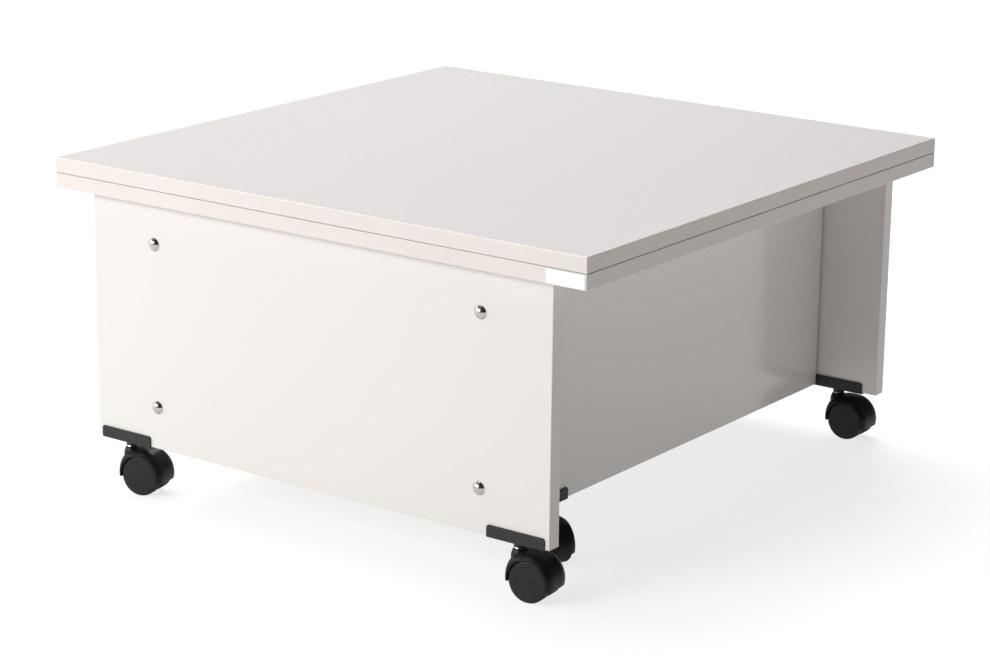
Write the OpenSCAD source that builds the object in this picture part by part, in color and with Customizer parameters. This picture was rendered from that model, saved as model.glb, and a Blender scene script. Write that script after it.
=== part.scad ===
// Low work table with a fold-over top that swivels and opens to twice its size.
// The boarded base rolls on six twin-wheel casters. Origin: floor level, middle of the
// folded top. +Z is up, the front end panel faces -Y and the leaves hinge on the -X edge.

/* [Top] */
// Side of the square top when folded
top_side = 770; // [600:5:900]
// Thickness of each of the two leaves
leaf_thickness = 18; // [16:1:25]
// Slot between the folded leaves
leaf_gap = 0.8; // [0.6:0.1:2]
// Thickness of the edging tape round every board
edging = 1; // [0.5:0.1:2]

/* [Base] */
// Height of the table with its top folded
table_height = 404; // [364:4:484]
// Thickness of the base boards
board = 18; // [16:1:25]
// Width of the two end panels
end_width = 670; // [560:5:740]
// How far each end panel stands in from the edge of the top
end_setback = 12; // [0:1:60]
// Distance across the outer faces of the two side panels
side_spread = 496; // [400:2:560]
// Height of the boards' lower edges above the floor
floor_gap = 64; // [60:1:90]
// Slot between the rear end panel and the side panels, for the bracket flanges
rear_joint_gap = 3.5; // [2.5:0.5:6]
// Slot between the base and the underside of the top
swivel_gap = 1.2; // [0.8:0.1:3]

/* [Casters] */
// Radius of the wheels
wheel_r = 24.5; // [20:0.5:28]
// Width across the caster's hood
hood_width = 40; // [34:1:50]
// Horizontal distance from the stem to the axle
trail = 20; // [16:1:28]
// Length of the bracket that clips over the board
bracket_length = 78; // [60:1:90]
// Height of the bracket's flanges above the board's lower edge
flange_height = 13; // [8:1:20]
// Thickness of the bracket's sheet steel
sheet = 2; // [1.5:0.1:3]

/* [Fasteners] */
// Radius of the dome bolts' heads
dome_r = 8; // [6:0.5:10]
// Height of the dome bolts' heads
dome_height = 5; // [3:0.5:7]
// Heights of the bolts above the panels' lower edges
bolt_heights = [52, 253]; // [20:1:290]
// Distance of each barrel nut from the end of its side panel
barrel_inset = 34; // [28:1:40]

/* [Swivel and hinges] */
// Radius of the pivot bolt's shank
pivot_r = 5; // [4:0.5:8]
// Length of each hinge along the edge
hinge_length = 70; // [50:1:100]
// Places of the hinges along the edge
hinge_places = [-250, 0, 250]; // [-350:1:350]
// Radius of the hinge knuckles
knuckle_r = 2.5; // [2:0.1:4]
// Thickness of the hinge plates
hinge_sheet = 1.2; // [1:0.1:2]

/* [Hidden] */
$fn = 48;
eps = 0.01;
run_fit = 0.05;
clear = 0.4;

half_top = top_side / 2;
upper_z = table_height - leaf_thickness;
seam_z = upper_z - leaf_gap / 2;
lower_z = upper_z - leaf_gap - leaf_thickness;
base_z = lower_z - swivel_gap;
panel_height = base_z - floor_gap;
leaf_size = [top_side, top_side, leaf_thickness];
end_size = [end_width, panel_height, board];

end_out = half_top - end_setback;
end_in = end_out - board;
side_out = side_spread / 2;
side_in = side_out - board;
side_mid = side_out - board / 2;
side_front = -end_in;
side_rear = end_in - rear_joint_gap;
side_length = side_rear - side_front;

// dome bolts, barrel nuts and dowels
bolt_r = 3;
bolt_shank = 66;
bolt_bore_r = 3.5;
bolt_bore_depth = 52;
barrel_r = 5;
barrel_length = 14;
dowel_r = 4;
dowel_length = 30;
dowel_in_end = 10;
dowel_heights = [26, 278];

// rails inside the base; the top swivels about the pivot on the first one
pivot_x = -top_side / 4;
pivot_y = top_side / 4;
rail_width = 120;
rail_places = [pivot_y, -pivot_y];
block = [20, 60, 20];
peg_r = 4;
peg_reach = 30;
peg_grip = 6;
groove_width = 10;
groove_depth = 14;
plate_side = 90;
plate_sheet = 3;
pivot_head_r = 11;
pivot_head = 4;
washer_r = 12;
washer_sheet = 2;
nut_r = 9.5;
nut_height = 8;
pivot_tail = 3;
nut_z = base_z - board - clear - washer_sheet - nut_height;
peg_z = base_z - groove_depth + 2;

// glide pads on the base and buffers between the leaves
pad_r = 6;
pad_seat = 2;
pad_rise = 0.8;
pad_places = [-300, -100, 100, 300];
buffer_r = 5;
buffer_seat = 1.5;
buffer_rise = 0.4;
buffer_inset = 60;

// hinge line just outside the -X edge, level with the seam
hinge_x = -half_top - leaf_gap / 2;
pin_r = 1.25;
hinge_height = 15;
hinge_screw_step = 25;
hinge_screw_drop = 9;
knuckle_gap = 0.4;
middle_reach = hinge_length / 6;
OUTER_KNUCKLES = [
    [-hinge_length / 2, -middle_reach - knuckle_gap],
    [middle_reach + knuckle_gap, hinge_length / 2]
];
MIDDLE_KNUCKLES = [[-middle_reach, middle_reach]];

// blank plate on the front edge
name_plate = [50, 0.6, 16];
name_plate_inset = 2;

// casters: hood, stem, axle and wheels
bracket_z = floor_gap - sheet;
seat = 4.4;
seat_r = 7.5;
collar_z = bracket_z - 6;
collar_r = 7;
stem_r = 4;
stem_length = 18;
hood_top = collar_z - clear;
hood_r = 29.5;
hood_rim_r = 26.4;
hood_full = 14;
wheel_pocket_gap = 0.9;
hood_boss = 9;
web_r = 8;
web = 9;
axle_r = 3;
axle_length = 34;
wheel_gap = 0.5;
wheel_in = web / 2 + wheel_gap;
wheel_out = hood_width / 2 - wheel_gap;
bracket_screw_step = 27;

// each caster: name, place of its stem, turn of its bracket, resting turn of its hood
front_x = 290;
rear_x = 276;
side_y = -254;
end_mid = end_out - board / 2;
CASTERS = [
    ["front_left", [-front_x, -end_mid], 0, 12],
    ["front_right", [front_x, -end_mid], 0, 5],
    ["rear_left", [-rear_x, end_mid], 0, -12],
    ["rear_right", [rear_x, end_mid], 0, 0],
    ["side_left", [-side_mid, -side_y], 90, 35],
    ["side_right", [side_mid, side_y], 90, -25]
];
caster_ids = [0 : len(CASTERS) - 1];
WHEEL_SIDES = [["left", 90], ["right", -90]];

WHITE = [0.93, 0.92, 0.91];
TAPE = [0.90, 0.89, 0.87];
BLACK = [0.10, 0.10, 0.10];
STEEL = [0.72, 0.73, 0.75];
CHROME = [0.82, 0.83, 0.85];
WOOD = [0.76, 0.62, 0.42];

// ---------------------------------------------------------------- shared shapes

// a flat board with its edging left off, lower corner at the origin
module board_core(size) {
    translate([edging, edging, 0])
        cube([size.x - 2 * edging, size.y - 2 * edging, size.z]);
}

// the four strips of edging tape round that board
module board_edging(size) {
    for (y = [0, size.y - edging])
        translate([0, y, 0])
            cube([size.x, edging, size.z]);
    for (x = [0, size.x - edging])
        translate([x, edging, 0])
            cube([edging, size.y - 2 * edging, size.z]);
}

// a rectangle centred on x, standing on y = 0, with its two upper corners rounded
module rounded_top(width, height, r) {
    translate([-width / 2, 0])
        square([width, height - r]);
    translate([r - width / 2, 0])
        square([width - 2 * r, height]);
    for (x = [r - width / 2, width / 2 - r])
        translate([x, height - r])
            circle(r);
}

// a screw pointing up, the underside of its pan head at the origin
module pan_screw(length, r = 1.9, head_r = 3.6, head = 2) {
    cylinder(h = length, r = r, $fn = 24);
    translate([0, 0, -head])
        cylinder(h = head, r1 = head_r - 0.8, r2 = head_r, $fn = 24);
}

// a screw pointing up, the face of its countersunk head at the origin
module flat_screw(length, r = 1.5, head_r = 2.8, head = 1.6) {
    cylinder(h = length, r = r, $fn = 24);
    cylinder(h = head, r1 = head_r, r2 = r, $fn = 24);
}

// ---------------------------------------------------------------- the top

// a round bar along the hinge axis between two places in a hinge's length
module on_hinge_axis(span, r) {
    translate([hinge_x, span[0], seam_z])
        rotate([-90, 0, 0])
            cylinder(h = span[1] - span[0], r = r, $fn = 32);
}

// room for the hinge plates in the edges and for the knuckles at the seam
module hinge_reliefs() {
    reach = hinge_length / 2;
    for (y = hinge_places)
        translate([0, y, 0]) {
            translate([-half_top - eps, -reach, seam_z - hinge_height])
                cube([hinge_sheet + eps, hinge_length, 2 * hinge_height]);
            on_hinge_axis([-reach - knuckle_gap, reach + knuckle_gap], knuckle_r + clear);
        }
}

module at_leaf_corner(z) {
    translate([-half_top, -half_top, z])
        children();
}

module upper_leaf() {
    color(WHITE)
        difference() {
            at_leaf_corner(upper_z)
                board_core(leaf_size);
            hinge_reliefs();
        }
}

module upper_leaf_edging() {
    color(TAPE)
        difference() {
            at_leaf_corner(upper_z)
                board_edging(leaf_size);
            hinge_reliefs();
        }
}

module at_buffers() {
    reach = half_top - buffer_inset;
    for (x = [-reach, reach], y = [-reach, reach])
        translate([x, y, upper_z - leaf_gap - buffer_seat])
            children();
}

module at_pivot(z) {
    translate([pivot_x, pivot_y, z])
        children();
}

module lower_leaf() {
    color(WHITE)
        difference() {
            at_leaf_corner(lower_z)
                board_core(leaf_size);
            hinge_reliefs();
            at_buffers()
                cylinder(h = leaf_thickness, r = buffer_r);
            at_pivot(lower_z - eps) {
                translate([-plate_side / 2, -plate_side / 2, 0])
                    cube([plate_side, plate_side, plate_sheet + eps]);
                cylinder(h = plate_sheet + pivot_head + eps, r = pivot_head_r);
                translate([peg_reach, 0, 0])
                    cylinder(h = plate_sheet + peg_grip + eps, r = peg_r);
            }
        }
}

module lower_leaf_edging() {
    color(TAPE)
        difference() {
            at_leaf_corner(lower_z)
                board_edging(leaf_size);
            hinge_reliefs();
        }
}

module leaf_buffers() {
    color(BLACK)
        at_buffers()
            cylinder(h = buffer_seat + buffer_rise, r = buffer_r);
}

module name_plate() {
    color(WHITE)
        translate([
            half_top - name_plate_inset - name_plate.x,
            -half_top - name_plate.y,
            lower_z + (leaf_thickness - name_plate.z) / 2
        ])
            cube(name_plate);
}

// ---------------------------------------------------------------- swivel

module at_plate_screws() {
    step = plate_side / 2 - 10;
    at_pivot(lower_z)
        for (x = [-step, step], y = [-step, step])
            translate([x, y, 0])
                children();
}

module pivot_plate() {
    color(STEEL)
        difference() {
            at_pivot(lower_z)
                translate([-plate_side / 2, -plate_side / 2, 0])
                    cube([plate_side, plate_side, plate_sheet]);
            at_pivot(lower_z - eps)
                cylinder(h = plate_sheet + 2 * eps, r = pivot_r);
            at_pivot(lower_z - eps)
                translate([peg_reach, 0, 0])
                    cylinder(h = plate_sheet + 2 * eps, r = peg_r);
            at_plate_screws()
                flat_screw(14);
        }
}

module plate_screws() {
    color(STEEL)
        at_plate_screws()
            flat_screw(14);
}

module pivot_bolt() {
    color(STEEL) {
        at_pivot(lower_z + plate_sheet)
            cylinder(h = pivot_head, r = pivot_head_r);
        at_pivot(nut_z - pivot_tail)
            cylinder(h = lower_z + plate_sheet - nut_z + pivot_tail, r = pivot_r);
    }
}

module pivot_washer() {
    color(STEEL)
        at_pivot(nut_z + nut_height)
            difference() {
                cylinder(h = washer_sheet, r = washer_r);
                translate([0, 0, -eps])
                    cylinder(h = washer_sheet + 2 * eps, r = pivot_r);
            }
}

module pivot_nut() {
    color(STEEL)
        at_pivot(nut_z)
            difference() {
                cylinder(h = nut_height, r = nut_r, $fn = 6);
                translate([0, 0, -eps])
                    cylinder(h = nut_height + 2 * eps, r = pivot_r);
            }
}

module stop_peg() {
    color(STEEL)
        at_pivot(peg_z)
            translate([peg_reach, 0, 0])
                cylinder(h = lower_z + plate_sheet + peg_grip - peg_z, r = peg_r);
}

// the quarter-circle groove that the stop peg runs in
module stop_groove() {
    r = groove_width / 2;
    at_pivot(base_z - groove_depth) {
        rotate_extrude(angle = 90)
            translate([peg_reach - r, 0])
                square([groove_width, groove_depth + eps]);
        for (turn = [0, 90])
            rotate([0, 0, turn])
                translate([peg_reach, 0, 0])
                    cylinder(h = groove_depth + eps, r = r);
    }
}

// ---------------------------------------------------------------- base boards

// an end panel's own plane, x across and y up, seen from the front
module stand_up(y) {
    translate([-end_width / 2, y + board, floor_gap])
        rotate([90, 0, 0])
            children();
}

// places in line with the side panels on an end panel's inner face, +z pointing outward
module at_joint(inner_face, outward, heights) {
    for (x = [-side_mid, side_mid], h = heights)
        translate([x, inner_face, floor_gap + h])
            rotate([-90 * outward, 0, 0])
                children();
}

module at_pads() {
    for (x = pad_places, y = [-end_mid, end_mid])
        translate([x, y, base_z - pad_seat])
            children();
}

module end_panel(y, inner_face, outward) {
    difference() {
        stand_up(y)
            board_core(end_size);
        at_joint(inner_face, outward, bolt_heights)
            translate([0, 0, -eps])
                cylinder(h = board + 2 * eps, r = bolt_bore_r);
        at_joint(inner_face, outward, dowel_heights)
            translate([0, 0, -eps])
                cylinder(h = dowel_in_end + eps, r = dowel_r);
        at_pads()
            cylinder(h = board, r = pad_r);
    }
}

module end_edging(y) {
    difference() {
        stand_up(y)
            board_edging(end_size);
        at_pads()
            cylinder(h = board, r = pad_r);
    }
}

module front_end_panel() {
    color(WHITE)
        end_panel(-end_out, -end_in, -1);
}

module front_end_edging() {
    color(TAPE)
        end_edging(-end_out);
}

module rear_end_panel() {
    color(WHITE)
        end_panel(end_in, end_in, 1);
}

module rear_end_edging() {
    color(TAPE)
        end_edging(end_in);
}

// barrel nut places, turned so that +z points out through the side panel
module at_barrels(side) {
    for (y = [side_front + barrel_inset, side_rear - barrel_inset], h = bolt_heights)
        translate([side * side_mid, y, floor_gap + h])
            rotate([0, 90 * side, 0])
                children();
}

// bores along y from both ends of a side panel
module side_bores(side, heights, depth, r) {
    for (h = heights) {
        translate([side * side_mid, side_front - eps, floor_gap + h])
            rotate([-90, 0, 0])
                cylinder(h = depth + eps, r = r);
        translate([side * side_mid, side_rear + eps, floor_gap + h])
            rotate([90, 0, 0])
                cylinder(h = depth + eps, r = r);
    }
}

module side_panel(side) {
    difference() {
        translate([side * side_mid - board / 2, side_front, floor_gap + edging])
            cube([board, side_length, panel_height - 2 * edging]);
        side_bores(side, bolt_heights, bolt_bore_depth, bolt_bore_r);
        side_bores(side, dowel_heights, dowel_length - dowel_in_end, dowel_r);
        at_barrels(side)
            translate([0, 0, -board / 2 - eps])
                cylinder(h = (board + barrel_length) / 2 + eps, r = barrel_r);
    }
}

module left_side_panel() {
    color(WHITE)
        side_panel(-1);
}

module right_side_panel() {
    color(WHITE)
        side_panel(1);
}

module side_panel_edging() {
    color(TAPE)
        for (side = [-1, 1], z = [floor_gap, base_z - edging])
            translate([side * side_mid - board / 2, side_front, z])
                cube([board, side_length, edging]);
}

module rail(y) {
    translate([-side_in, y - rail_width / 2, base_z - board])
        cube([2 * side_in, rail_width, board]);
}

module pivot_rail() {
    color(WHITE)
        difference() {
            rail(rail_places[0]);
            stop_groove();
            at_pivot(base_z - board - eps)
                cylinder(h = board + 2 * eps, r = pivot_r + run_fit);
        }
}

module brace_rail() {
    color(WHITE)
        rail(rail_places[1]);
}

// ---------------------------------------------------------------- fittings of the base

module at_blocks() {
    for (side = [-1, 1], y = rail_places)
        translate([side * (side_in - block.x / 2), y, base_z - board - block.z / 2])
            rotate([0, 0, side < 0 ? 180 : 0])
                children();
}

module block_screw_set() {
    for (y = [-18, 18])
        translate([-block.x / 2, y, 0])
            rotate([0, 90, 0])
                pan_screw(32);
    translate([0, 0, -block.z / 2])
        pan_screw(32);
}

module rail_blocks() {
    color(WHITE)
        at_blocks()
            difference() {
                cube(block, center = true);
                block_screw_set();
            }
}

module block_screws() {
    color(STEEL)
        at_blocks()
            block_screw_set();
}

module dome_bolt() {
    sphere_r = (dome_r * dome_r + dome_height * dome_height) / (2 * dome_height);
    intersection() {
        translate([0, 0, dome_height - sphere_r])
            sphere(sphere_r);
        cylinder(h = dome_height, r = dome_r);
    }
    translate([0, 0, -bolt_shank])
        cylinder(h = bolt_shank, r = bolt_r);
}

module dome_bolts() {
    color(CHROME)
        for (end = [-1, 1])
            at_joint(end * end_in, end, bolt_heights)
                translate([0, 0, board])
                    dome_bolt();
}

module barrel_nuts() {
    color(STEEL)
        for (side = [-1, 1])
            at_barrels(side)
                difference() {
                    cylinder(h = barrel_length, r = barrel_r, center = true);
                    rotate([90, 0, 0])
                        cylinder(h = 2 * (barrel_r + eps), r = bolt_r, center = true);
                }
}

module dowels() {
    color(WOOD)
        for (end = [-1, 1])
            at_joint(end * end_in, end, dowel_heights)
                translate([0, 0, dowel_in_end - dowel_length])
                    cylinder(h = dowel_length, r = dowel_r);
}

module glide_pads() {
    color(BLACK)
        at_pads()
            cylinder(h = pad_seat + pad_rise, r = pad_r);
}

// ---------------------------------------------------------------- hinges

module at_hinge_screws(direction) {
    for (y = hinge_places, step = [-hinge_screw_step, hinge_screw_step])
        translate([-half_top, y + step, seam_z + direction * hinge_screw_drop])
            rotate([0, 90, 0])
                children();
}

// one plate of each hinge with its own knuckles; direction is -1 below the seam, 1 above
module hinge_halves(direction, own, others, bore_r) {
    low = direction < 0 ? seam_z - hinge_height : seam_z + leaf_gap / 2;
    difference() {
        for (y = hinge_places)
            translate([0, y, 0])
                difference() {
                    union() {
                        translate([-half_top, -hinge_length / 2, low])
                            cube([hinge_sheet, hinge_length, hinge_height - leaf_gap / 2]);
                        for (span = own)
                            on_hinge_axis(span, knuckle_r);
                    }
                    for (span = others)
                        on_hinge_axis([span[0] - knuckle_gap, span[1] + knuckle_gap], knuckle_r + clear);
                    on_hinge_axis([-hinge_length, hinge_length], bore_r);
                }
        at_hinge_screws(direction)
            flat_screw(16);
    }
}

module lower_hinge_plates() {
    color(STEEL)
        hinge_halves(-1, OUTER_KNUCKLES, MIDDLE_KNUCKLES, pin_r);
}

module upper_hinge_plates() {
    color(STEEL)
        hinge_halves(1, MIDDLE_KNUCKLES, OUTER_KNUCKLES, pin_r + run_fit);
}

module hinge_pins() {
    color(STEEL)
        for (y = hinge_places)
            translate([0, y, 0])
                on_hinge_axis([-hinge_length / 2, hinge_length / 2], pin_r);
}

module lower_hinge_screws() {
    color(STEEL)
        at_hinge_screws(-1)
            flat_screw(16);
}

module upper_hinge_screws() {
    color(STEEL)
        at_hinge_screws(1)
            flat_screw(16);
}

// ---------------------------------------------------------------- caster brackets

// the frame of each caster's bracket: stem on the z axis, board along x
module at_brackets() {
    for (caster = CASTERS)
        translate(caster[1])
            rotate([0, 0, caster[2]])
                children();
}

module at_bracket_screws() {
    at_brackets()
        for (x = [-bracket_screw_step, bracket_screw_step])
            translate([x, 0, bracket_z])
                children();
}

module caster_bracket() {
    difference() {
        union() {
            translate([-bracket_length / 2, -board / 2 - sheet, bracket_z])
                cube([bracket_length, board + 2 * sheet, sheet]);
            for (y = [-board / 2, board / 2 + sheet])
                translate([0, y, bracket_z])
                    rotate([90, 0, 0])
                        linear_extrude(sheet)
                            rounded_top(bracket_length, flange_height + sheet, 3);
            translate([0, 0, bracket_z - seat])
                cylinder(h = seat + sheet / 2, r = seat_r);
        }
        translate([0, 0, bracket_z - seat - eps])
            cylinder(h = seat + sheet + 2 * eps, r = stem_r);
    }
}

module caster_brackets() {
    color(BLACK)
        difference() {
            at_brackets()
                caster_bracket();
            at_bracket_screws()
                pan_screw(18);
        }
}

module bracket_screws() {
    color(STEEL)
        at_bracket_screws()
            pan_screw(18);
}

module caster_stems() {
    color(CHROME)
        at_brackets() {
            translate([0, 0, floor_gap - stem_length - sheet])
                cylinder(h = stem_length + sheet, r = stem_r);
            translate([0, 0, collar_z])
                cylinder(h = bracket_z - seat - collar_z, r = collar_r);
        }
}

// ---------------------------------------------------------------- casters

// the frame of one caster's hood: stem on the z axis, axle behind it along +x
module at_caster(i) {
    translate(CASTERS[i][1])
        rotate([0, 0, CASTERS[i][3]])
            children();
}

// the frame of the axle, with +z along it
module on_axle(turn) {
    translate([trail, 0, wheel_r])
        rotate([turn, 0, 0])
            children();
}

// a round shell about the axle, its sides sloping in to a rim round each wheel
module hood_shell() {
    half = hood_width / 2;
    rotate_extrude()
        polygon([
            [0, -half],
            [hood_rim_r, -half],
            [hood_r, -hood_full],
            [hood_r, hood_full],
            [hood_rim_r, half],
            [0, half]
        ]);
}

// what is cut away below the axle, the line falling a little from front to back
module hood_opening() {
    reach = hood_r + 10;
    skirt_front = 1.5;
    skirt_back = 7.5;
    rotate([90, 0, 0])
        linear_extrude(2 * hood_width, center = true)
            polygon([[-reach, -skirt_front], [-reach, -reach], [reach, -reach], [reach, -skirt_back]]);
}

module caster_hood(i) {
    socket_z = floor_gap - stem_length - sheet - clear;
    pocket_r = wheel_r + wheel_pocket_gap;
    color(BLACK)
        at_caster(i)
            difference() {
                union() {
                    difference() {
                        on_axle(90)
                            hood_shell();
                        on_axle(0)
                            hood_opening();
                    }
                    on_axle(90)
                        cylinder(h = web, r = web_r, center = true);
                    translate([0, 0, wheel_r + 8])
                        cylinder(h = hood_top - wheel_r - 8, r = hood_boss);
                }
                for (turn = [-90, 90])
                    on_axle(turn)
                        translate([0, 0, web / 2])
                            cylinder(h = hood_width, r = pocket_r);
                on_axle(90)
                    cylinder(h = hood_width, r = axle_r, center = true);
                translate([0, 0, socket_z])
                    cylinder(h = hood_top, r = stem_r + run_fit);
            }
}

module caster_axle(i) {
    color(STEEL)
        at_caster(i)
            on_axle(90)
                cylinder(h = axle_length, r = axle_r, center = true);
}

module caster_wheel(i, turn) {
    bore_r = axle_r + run_fit;
    bore_end = axle_length / 2 + clear;
    ring_r = 0.5 * wheel_r;
    ring_depth = 0.8;
    color(BLACK)
        at_caster(i)
            on_axle(turn)
                rotate_extrude()
                    polygon([
                        [bore_r, wheel_in],
                        [wheel_r - 1.5, wheel_in],
                        [wheel_r, wheel_in + 1.5],
                        [wheel_r, wheel_out - 4],
                        [wheel_r - 0.8, wheel_out - 1.8],
                        [wheel_r - 2.8, wheel_out - 0.5],
                        [wheel_r - 6, wheel_out],
                        [ring_r + ring_depth, wheel_out],
                        [ring_r, wheel_out - ring_depth],
                        [ring_r - ring_depth, wheel_out],
                        [0, wheel_out],
                        [0, bore_end],
                        [bore_r, bore_end]
                    ]);
}

// ---------------------------------------------------------------- drawing

upper_leaf();
upper_leaf_edging();
lower_leaf();
lower_leaf_edging();
name_plate();
front_end_panel();
front_end_edging();
rear_end_panel();
rear_end_edging();
left_side_panel();
right_side_panel();
side_panel_edging();
pivot_rail();
brace_rail();
rail_blocks();
block_screws();
dome_bolts();
barrel_nuts();
dowels();
glide_pads();
leaf_buffers();
pivot_plate();
plate_screws();
pivot_bolt();
pivot_washer();
pivot_nut();
stop_peg();
lower_hinge_plates();
upper_hinge_plates();
hinge_pins();
lower_hinge_screws();
upper_hinge_screws();
caster_brackets();
bracket_screws();
caster_stems();
for (i = caster_ids) {
    name = CASTERS[i][0];
    caster_hood(i);
    caster_axle(i);
    for (w = WHEEL_SIDES)
        caster_wheel(i, w[1]);
}
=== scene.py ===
import math

import bmesh
import bpy
from mathutils import Matrix, Vector


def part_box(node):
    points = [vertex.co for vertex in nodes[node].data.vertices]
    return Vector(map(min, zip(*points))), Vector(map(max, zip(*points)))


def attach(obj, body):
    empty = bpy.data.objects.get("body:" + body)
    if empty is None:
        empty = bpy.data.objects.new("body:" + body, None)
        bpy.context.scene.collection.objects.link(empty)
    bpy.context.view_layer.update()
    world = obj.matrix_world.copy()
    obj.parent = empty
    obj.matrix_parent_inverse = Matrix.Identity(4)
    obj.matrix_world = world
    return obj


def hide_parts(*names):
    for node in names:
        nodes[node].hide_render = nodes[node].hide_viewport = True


# Looks for the fold-over table on casters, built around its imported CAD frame.
#
# The frame is in metres: +Z up, the front end panel faces -Y, the leaves hinge on the -X
# edge. Sizes below are in millimetres and turned into metres by MM.

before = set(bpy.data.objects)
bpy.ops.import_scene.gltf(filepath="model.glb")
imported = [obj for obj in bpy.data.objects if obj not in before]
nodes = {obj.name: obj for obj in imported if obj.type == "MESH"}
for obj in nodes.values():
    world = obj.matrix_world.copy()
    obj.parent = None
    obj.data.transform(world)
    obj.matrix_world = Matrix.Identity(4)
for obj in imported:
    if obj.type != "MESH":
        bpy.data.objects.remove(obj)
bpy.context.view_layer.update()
scene = bpy.context.scene

MM = 0.001
X, Y, Z = Vector((1, 0, 0)), Vector((0, 1, 0)), Vector((0, 0, 1))


# ---------------------------------------------------------------- camera and light

CAMERA_AT = Vector((1.9951, -2.7579, 1.1385))
CAMERA_AZIMUTH = math.radians(36.059)
CAMERA_ELEVATION = math.radians(15.857)
CAMERA_ROLL = math.radians(0.665)
CAMERA_LENS = 103.36


def make_camera():
    data = bpy.data.cameras.new("camera")
    data.lens = CAMERA_LENS
    data.sensor_width = 36
    data.clip_start, data.clip_end = 0.05, 200
    camera = bpy.data.objects.new("camera", data)
    scene.collection.objects.link(camera)
    camera.matrix_world = (
        Matrix.Translation(CAMERA_AT)
        @ Matrix.Rotation(CAMERA_AZIMUTH, 4, "Z")
        @ Matrix.Rotation(math.pi / 2 - CAMERA_ELEVATION, 4, "X")
        @ Matrix.Rotation(CAMERA_ROLL, 4, "Z")
    )
    scene.camera = camera


def soft_box(name, place, aim, size, power, colour):
    """A rectangular softbox at place, turned towards aim."""
    data = bpy.data.lights.new(name, "AREA")
    data.shape = "RECTANGLE"
    data.size, data.size_y = size
    data.energy = power
    data.color = colour
    light = bpy.data.objects.new(name, data)
    scene.collection.objects.link(light)
    light.location = place
    light.rotation_euler = (Vector(aim) - Vector(place)).to_track_quat("-Z", "Y").to_euler()


def make_world(strength, colour):
    world = bpy.data.worlds.new("studio")
    world.use_nodes = True
    background = world.node_tree.nodes["Background"]
    background.inputs["Color"].default_value = (*colour, 1)
    background.inputs["Strength"].default_value = strength
    scene.world = world


make_camera()
scene.view_settings.view_transform = "Standard"
scene.view_settings.look = "None"
make_world(0.06, (1.0, 0.98, 0.95))
soft_box("key", (-2.0, -4.6, 2.4), (0, 0, 0.2), (3.0, 2.4), 255, (1.0, 0.997, 0.995))
soft_box("left", (-4.2, -2.2, 1.7), (0, 0, 0.2), (2.6, 2.6), 90, (1.0, 0.997, 0.995))
soft_box("top", (-1.6, 1.2, 3.4), (0, 0, 0.3), (4.0, 4.0), 298, (0.958, 0.971, 1.0))


# ---------------------------------------------------------------- materials

# nearly all of a noise's values lie between these
NOISE_LOW, NOISE_HIGH = 0.3, 0.7


class Shader:
    """A small helper for one procedural material round a Principled shader."""

    def __init__(self, name, metallic=0.0, specular=0.5):
        self.material = bpy.data.materials.new(name)
        self.material.use_nodes = True
        self.tree = self.material.node_tree
        self.shader = self.tree.nodes["Principled BSDF"]
        self.shader.inputs["Metallic"].default_value = metallic
        self.shader.inputs["Specular IOR Level"].default_value = specular
        self.coords = self.tree.nodes.new("ShaderNodeTexCoord")
        self.height = None

    def put(self, source, target):
        self.tree.links.new(source, target)

    def noise(self, cell, detail=2.0, rough=0.5, stretch=(1, 1, 1), distortion=0.0):
        """Noise whose features are about cell millimetres across."""
        mapping = self.tree.nodes.new("ShaderNodeMapping")
        mapping.inputs["Scale"].default_value = stretch
        self.put(self.coords.outputs["Object"], mapping.inputs["Vector"])
        node = self.tree.nodes.new("ShaderNodeTexNoise")
        node.inputs["Scale"].default_value = 1 / (cell * MM)
        node.inputs["Detail"].default_value = detail
        node.inputs["Roughness"].default_value = rough
        node.inputs["Distortion"].default_value = distortion
        self.put(mapping.outputs["Vector"], node.inputs["Vector"])
        return node.outputs["Fac"]

    def ramp(self, value, low, high, colours):
        """Colours spread evenly as value goes from low to high."""
        node = self.tree.nodes.new("ShaderNodeValToRGB")
        stops = node.color_ramp.elements
        while len(stops) < len(colours):
            stops.new(0.5)
        for i, (stop, colour) in enumerate(zip(stops, colours)):
            stop.position = low + (high - low) * i / (len(colours) - 1)
            stop.color = (*colour, 1)
        self.put(value, node.inputs["Fac"])
        return node.outputs["Color"]

    def spread(self, value, low, high):
        """Maps the middle of a noise on to low..high."""
        node = self.tree.nodes.new("ShaderNodeMapRange")
        node.inputs["From Min"].default_value = NOISE_LOW
        node.inputs["From Max"].default_value = NOISE_HIGH
        node.inputs["To Min"].default_value = low
        node.inputs["To Max"].default_value = high
        self.put(value, node.inputs["Value"])
        return node.outputs["Result"]

    def mix(self, factor, a, b):
        node = self.tree.nodes.new("ShaderNodeMix")
        node.data_type = "RGBA"
        self.put(factor, node.inputs["Factor"])
        self.put(a, node.inputs["A"])
        self.put(b, node.inputs["B"])
        return node.outputs["Result"]

    def maths(self, operation, a, b):
        node = self.tree.nodes.new("ShaderNodeMath")
        node.operation = operation
        for socket, value in zip(node.inputs, (a, b)):
            if isinstance(value, (int, float)):
                socket.default_value = value
            else:
                self.put(value, socket)
        return node.outputs["Value"]

    def bump(self, value, depth):
        """Adds relief depth millimetres deep on top of what is there."""
        node = self.tree.nodes.new("ShaderNodeBump")
        node.inputs["Distance"].default_value = depth * MM
        node.inputs["Strength"].default_value = 1.0
        self.put(value, node.inputs["Height"])
        if self.height is not None:
            self.put(self.height, node.inputs["Normal"])
        self.height = node.outputs["Normal"]
        self.put(self.height, self.shader.inputs["Normal"])

    def colour(self, value):
        self.put(value, self.shader.inputs["Base Color"])

    def rough(self, value):
        self.put(value, self.shader.inputs["Roughness"])


def shades(colour, amount):
    """Three shades of a colour, amount darker, plain and amount lighter."""
    return [tuple(min(1, c * k) for c in colour) for k in (1 - amount, 1, 1 + amount)]


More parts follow.
